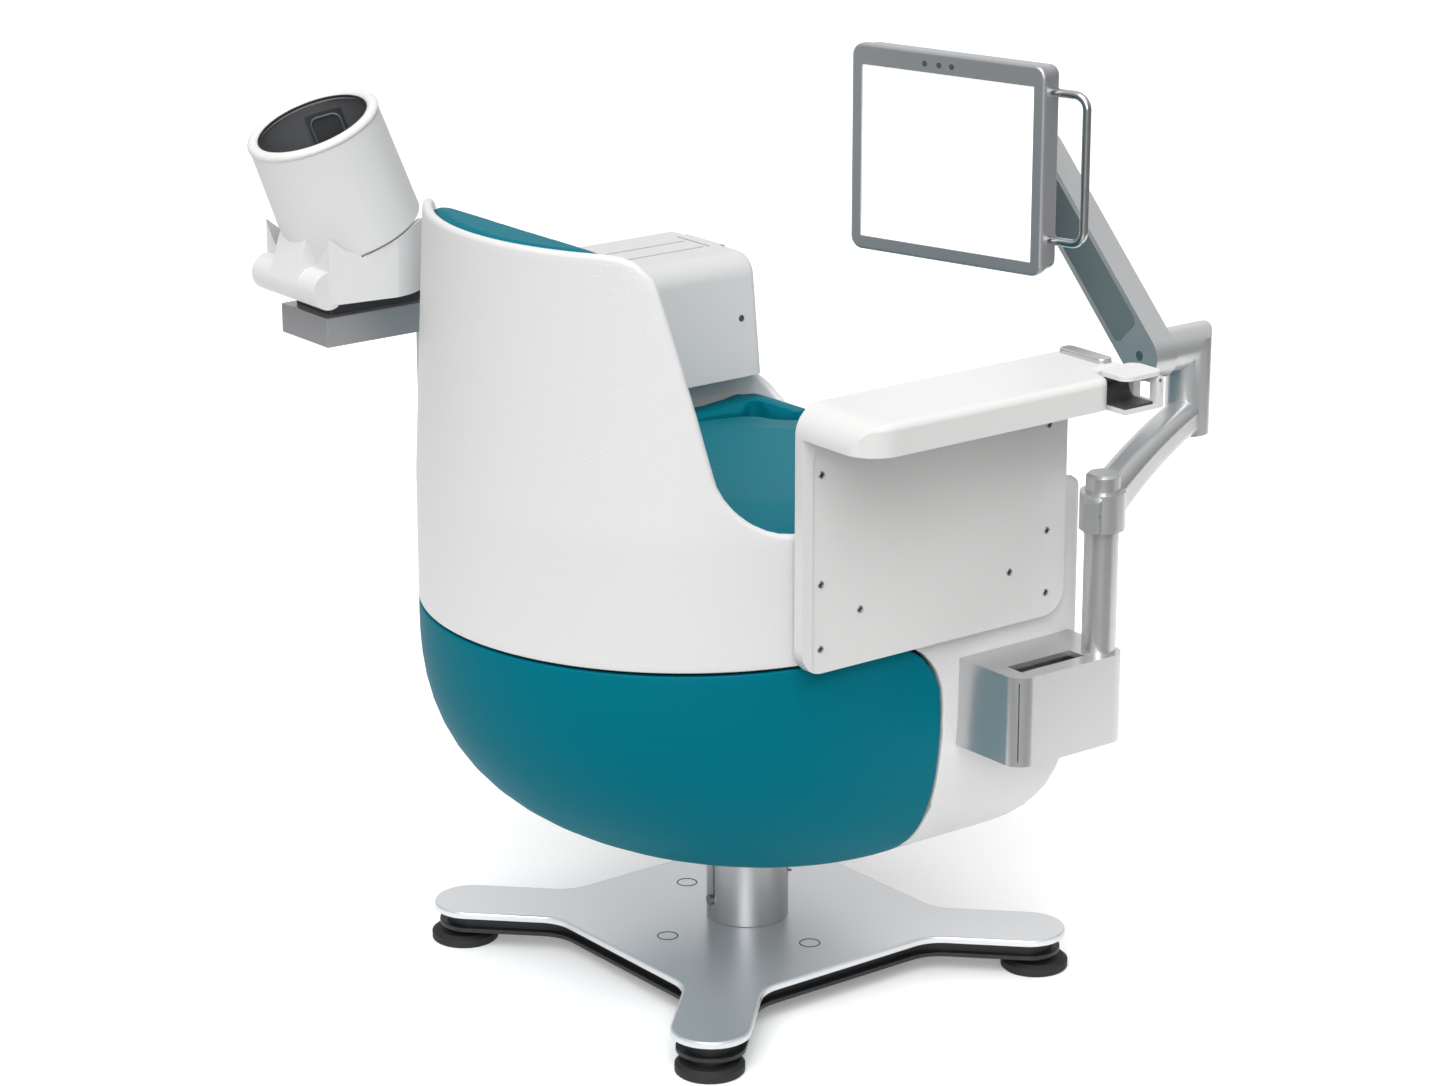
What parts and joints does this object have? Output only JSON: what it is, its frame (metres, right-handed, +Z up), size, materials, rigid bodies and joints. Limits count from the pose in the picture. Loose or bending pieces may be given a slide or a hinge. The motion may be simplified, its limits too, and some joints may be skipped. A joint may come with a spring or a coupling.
{
  "type": "patient chair",
  "caption": "Swivel tub chair for health checks with an armrest and finger clip, a console with an arm cuff, and a screen on a jointed side arm.",
  "frame": {"origin": "on the floor under the axis of the column", "axes": "+Z up, -Y the way the sitter faces, -X the sitter's right"},
  "size_m": [0.9109, 0.9068, 1.0797],
  "materials": {
    "white_shell": "fine texture",
    "teal_cover": "soft touch",
    "teal_upholstery": "coated, grained",
    "plywood": "sealed",
    "satin_plate": "satin",
    "steel": "brushed",
    "black_frame": "matt",
    "rubber": "matt",
    "dark_plastic": "matt",
    "bearing": "smooth",
    "screen_glass": "gloss",
    "chrome": "polished"
  },
  "bodies": {
    "base": {"base_plate": "satin_plate", "plate_caps": "satin_plate", "base_underframe": "black_frame", "foot_pad_1": "rubber", "foot_pad_2": "rubber", "foot_pad_3": "rubber", "foot_pad_4": "rubber", "column_socket": "steel", "column_tube": "satin_plate", "column_screws": "steel", "swivel_bush": "bearing", "thrust_ring": "bearing"},
    "seat": {"seat_spindle": "steel", "spindle_nut": "steel", "upper_shell": "white_shell", "lower_cover": "teal_cover", "seam_strip": "dark_plastic", "seat_frame": "steel", "seat_pan": "plywood", "seat_cushion": "teal_upholstery", "back_cushion": "teal_upholstery", "right_lining": "teal_upholstery", "left_lining": "teal_upholstery", "right_armrest": "white_shell", "armrest_trim": "satin_plate", "clip_base": "white_shell", "clip_liner": "dark_plastic", "clip_pin": "steel", "console_housing": "white_shell", "console_bracket": "satin_plate", "flap_pin": "steel", "cuff_bracket": "satin_plate", "cuff_neck": "dark_plastic", "cuff_cradle": "white_shell", "cuff_pin": "steel", "post_holder": "satin_plate", "post": "satin_plate"},
    "clip_lid": {"clip_lid": "white_shell"},
    "printer_flap": {"printer_flap": "white_shell"},
    "cuff": {"cuff_shell": "white_shell", "cuff_liner": "dark_plastic", "cuff_pad": "dark_plastic"},
    "lower_arm": {"lower_arm": "satin_plate", "yoke_spindle": "steel"},
    "yoke": {"yoke": "satin_plate", "lift_pin": "steel"},
    "upper_arm": {"upper_arm": "satin_plate", "arm_panels": "dark_plastic"},
    "level_bar": {"level_bar": "steel"},
    "head": {"head_knuckle": "satin_plate", "head_pin": "steel"},
    "pan_bracket": {"pan_bracket": "satin_plate", "pan_pin": "steel"},
    "screen": {"tilt_pin": "steel", "screen_mount": "steel", "screen_bezel": "satin_plate", "screen_glass": "screen_glass", "sensor_windows": "dark_plastic", "screen_cover": "satin_plate", "screen_handle": "chrome"}
  },
  "joints": [
    {"name": "seat_swivel", "type": "hinge", "parent": "base", "child": "seat", "pos_m": [0, 0, 0.3], "axis": [0, 0, 1], "continuous": true},
    {"name": "clip_lid_hinge", "type": "hinge", "parent": "seat", "child": "clip_lid", "pos_m": [-0.423, -0.2265, 0.7702], "axis": [1, 0, 0], "range_deg": [0, 25], "stiffness_Nm_per_rad": 0.06, "springref_deg": -20.05},
    {"name": "printer_flap_hinge", "type": "hinge", "parent": "seat", "child": "printer_flap", "pos_m": [0.373, -0.223, 0.778], "axis": [1, 0, 0], "range_deg": [0, 75]},
    {"name": "cuff_tilt", "type": "hinge", "parent": "seat", "child": "cuff", "pos_m": [0.382, 0.368, 0.812], "axis": [-1, 0, 0], "range_deg": [0, 20]},
    {"name": "arm_swivel", "type": "hinge", "parent": "seat", "child": "lower_arm", "pos_m": [-0.386, -0.202, 0.59], "axis": [0, 0, 1], "range_deg": [-60, 10]},
    {"name": "yoke_swivel", "type": "hinge", "parent": "lower_arm", "child": "yoke", "pos_m": [-0.24563, -0.466, 0.668], "axis": [0, 0, 1], "range_deg": [-60, 15]},
    {"name": "arm_lift", "type": "hinge", "parent": "yoke", "child": "upper_arm", "pos_m": [-0.24563, -0.402, 0.731], "axis": [0, -1, 0], "range_deg": [-20, 20]},
    {"name": "level_bar_hinge", "type": "hinge", "parent": "yoke", "child": "level_bar", "pos_m": [-0.23426, -0.402, 0.71975], "axis": [0, -1, 0], "range_deg": [-21, 21]},
    {"name": "head_level", "type": "hinge", "parent": "upper_arm", "child": "head", "pos_m": [-0.04657, -0.402, 0.93216], "axis": [0, -1, 0], "range_deg": [-21, 21]},
    {"name": "screen_pan", "type": "hinge", "parent": "head", "child": "pan_bracket", "pos_m": [-0.04657, -0.346, 0.93216], "axis": [0, 0, 1], "range_deg": [-35, 35]},
    {"name": "screen_tilt", "type": "hinge", "parent": "pan_bracket", "child": "screen", "pos_m": [-0.06334, -0.28631, 0.93216], "axis": [0.9627, 0.2706, 0], "range_deg": [-15, 15]}
  ],
  "couplings": [
    {"joint": "level_bar_hinge", "follows": "arm_lift", "ratio": 1},
    {"joint": "head_level", "follows": "arm_lift", "ratio": -1}
  ]
}
